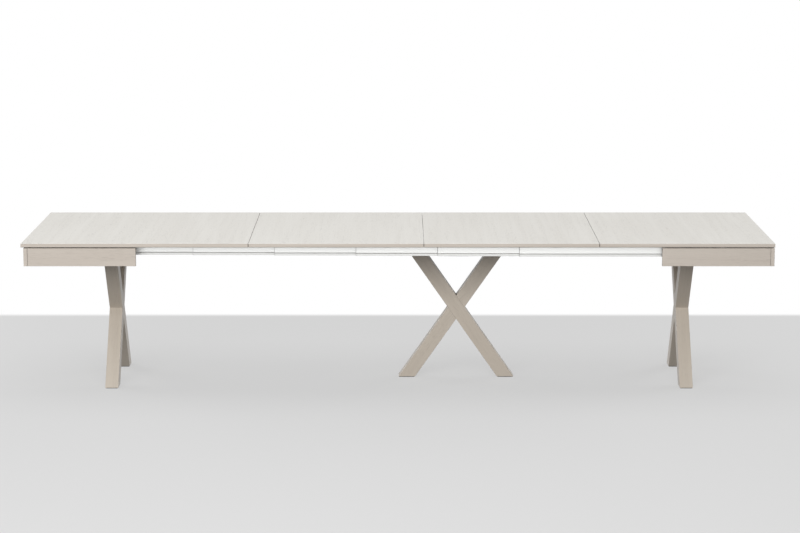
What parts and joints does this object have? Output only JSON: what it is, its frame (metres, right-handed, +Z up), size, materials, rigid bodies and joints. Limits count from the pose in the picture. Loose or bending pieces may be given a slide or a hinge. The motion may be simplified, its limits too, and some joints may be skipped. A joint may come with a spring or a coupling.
{
  "type": "extendable table",
  "caption": "Long dining table with crossed legs, a fixed main panel, loose leaves and a half that slides out on telescopic aluminium guides with a travelling centre leg.",
  "frame": {"origin": "on the floor under the middle of the open top", "axes": "+X along the table towards the sliding half, -Y towards the front long side, +Z up"},
  "size_m": [3.65, 1, 0.765],
  "materials": {
    "top_wood": "pale warm grey open-pore laminate with fine grain across the table, matt",
    "frame_wood": "taupe open-pore laminate with grain along each board, matt",
    "leg_wood": "taupe matt finish with fine grain along each arm",
    "inner_wood": "plain pale plywood and beech, unfinished",
    "guide_aluminium": "pale satin anodised extrusion",
    "steel": "grey powder-coated steel flat",
    "glide_plastic": "dark moulded plastic"
  },
  "bodies": {
    "left_half": {"main_top_panel": "top_wood", "main_panel_packer": "inner_wood", "left_end_board": "frame_wood", "left_front_apron": "frame_wood", "left_rear_apron": "frame_wood", "left_front_corner_block": "inner_wood", "left_rear_corner_block": "inner_wood", "left_cross_member": "inner_wood", "left_front_fixed_guide": "guide_aluminium", "left_rear_fixed_guide": "guide_aluminium", "left_leg_front_foot_arm": "leg_wood", "left_leg_rear_foot_arm": "leg_wood", "left_leg_front_plate": "steel", "left_leg_rear_plate": "steel", "left_leg_front_glide": "glide_plastic", "left_leg_rear_glide": "glide_plastic"},
    "guide_stage_1": {"front_guide_element_1": "guide_aluminium", "rear_guide_element_1": "guide_aluminium"},
    "guide_stage_2": {"front_guide_element_2": "guide_aluminium", "rear_guide_element_2": "guide_aluminium"},
    "guide_stage_3": {"front_guide_element_3": "guide_aluminium", "rear_guide_element_3": "guide_aluminium"},
    "guide_stage_4": {"front_guide_element_4": "guide_aluminium", "rear_guide_element_4": "guide_aluminium", "centre_leg_crossbar": "steel", "centre_leg_beam": "steel", "centre_leg_left_foot_arm": "leg_wood", "centre_leg_right_foot_arm": "leg_wood", "centre_leg_left_glide": "glide_plastic", "centre_leg_right_glide": "glide_plastic"},
    "guide_stage_5": {"front_guide_element_5": "guide_aluminium", "rear_guide_element_5": "guide_aluminium"},
    "guide_stage_6": {"front_guide_element_6": "guide_aluminium", "rear_guide_element_6": "guide_aluminium"},
    "right_half": {"right_end_board": "frame_wood", "right_front_apron": "frame_wood", "right_rear_apron": "frame_wood", "right_front_corner_block": "inner_wood", "right_rear_corner_block": "inner_wood", "right_cross_member": "inner_wood", "right_front_fixed_guide": "guide_aluminium", "right_rear_fixed_guide": "guide_aluminium", "right_front_guide_packer": "inner_wood", "right_rear_guide_packer": "inner_wood", "right_leg_front_foot_arm": "leg_wood", "right_leg_rear_foot_arm": "leg_wood", "right_leg_front_plate": "steel", "right_leg_rear_plate": "steel", "right_leg_front_glide": "glide_plastic", "right_leg_rear_glide": "glide_plastic"},
    "leaf_1": {"leaf_1_panel": "top_wood", "leaf_1_front_batten": "steel", "leaf_1_rear_batten": "steel"},
    "leaf_2": {"leaf_2_panel": "top_wood", "leaf_2_front_batten": "steel", "leaf_2_rear_batten": "steel"},
    "leaf_3": {"leaf_3_panel": "top_wood", "leaf_3_front_batten": "steel", "leaf_3_rear_batten": "steel"}
  },
  "joints": [
    {"name": "stage_1_slide", "type": "slide", "parent": "left_half", "child": "guide_stage_1", "axis": [-1, 0, 0], "range_m": [0, 0.391]},
    {"name": "stage_2_slide", "type": "slide", "parent": "guide_stage_1", "child": "guide_stage_2", "axis": [-1, 0, 0], "range_m": [0, 0.391]},
    {"name": "stage_3_slide", "type": "slide", "parent": "guide_stage_2", "child": "guide_stage_3", "axis": [-1, 0, 0], "range_m": [0, 0.391]},
    {"name": "stage_4_slide", "type": "slide", "parent": "guide_stage_3", "child": "guide_stage_4", "axis": [-1, 0, 0], "range_m": [0, 0.391]},
    {"name": "stage_5_slide", "type": "slide", "parent": "guide_stage_4", "child": "guide_stage_5", "axis": [-1, 0, 0], "range_m": [0, 0.391]},
    {"name": "stage_6_slide", "type": "slide", "parent": "guide_stage_5", "child": "guide_stage_6", "axis": [-1, 0, 0], "range_m": [0, 0.391]},
    {"name": "right_half_slide", "type": "slide", "parent": "guide_stage_6", "child": "right_half", "axis": [-1, 0, 0], "range_m": [0, 0.204]},
    {"name": "leaf_1_lift", "type": "slide", "parent": "left_half", "child": "leaf_1", "axis": [0, 0, 1], "range_m": [0, 0.3]},
    {"name": "leaf_2_lift", "type": "slide", "parent": "left_half", "child": "leaf_2", "axis": [0, 0, 1], "range_m": [0, 0.3]},
    {"name": "leaf_3_lift", "type": "slide", "parent": "left_half", "child": "leaf_3", "axis": [0, 0, 1], "range_m": [0, 0.3]}
  ],
  "couplings": [
    {"joint": "stage_2_slide", "follows": "stage_1_slide", "ratio": 1},
    {"joint": "stage_3_slide", "follows": "stage_1_slide", "ratio": 1},
    {"joint": "stage_4_slide", "follows": "stage_1_slide", "ratio": 1},
    {"joint": "stage_5_slide", "follows": "stage_1_slide", "ratio": 1},
    {"joint": "stage_6_slide", "follows": "stage_1_slide", "ratio": 1},
    {"joint": "right_half_slide", "follows": "stage_1_slide", "ratio": 0.52174}
  ]
}
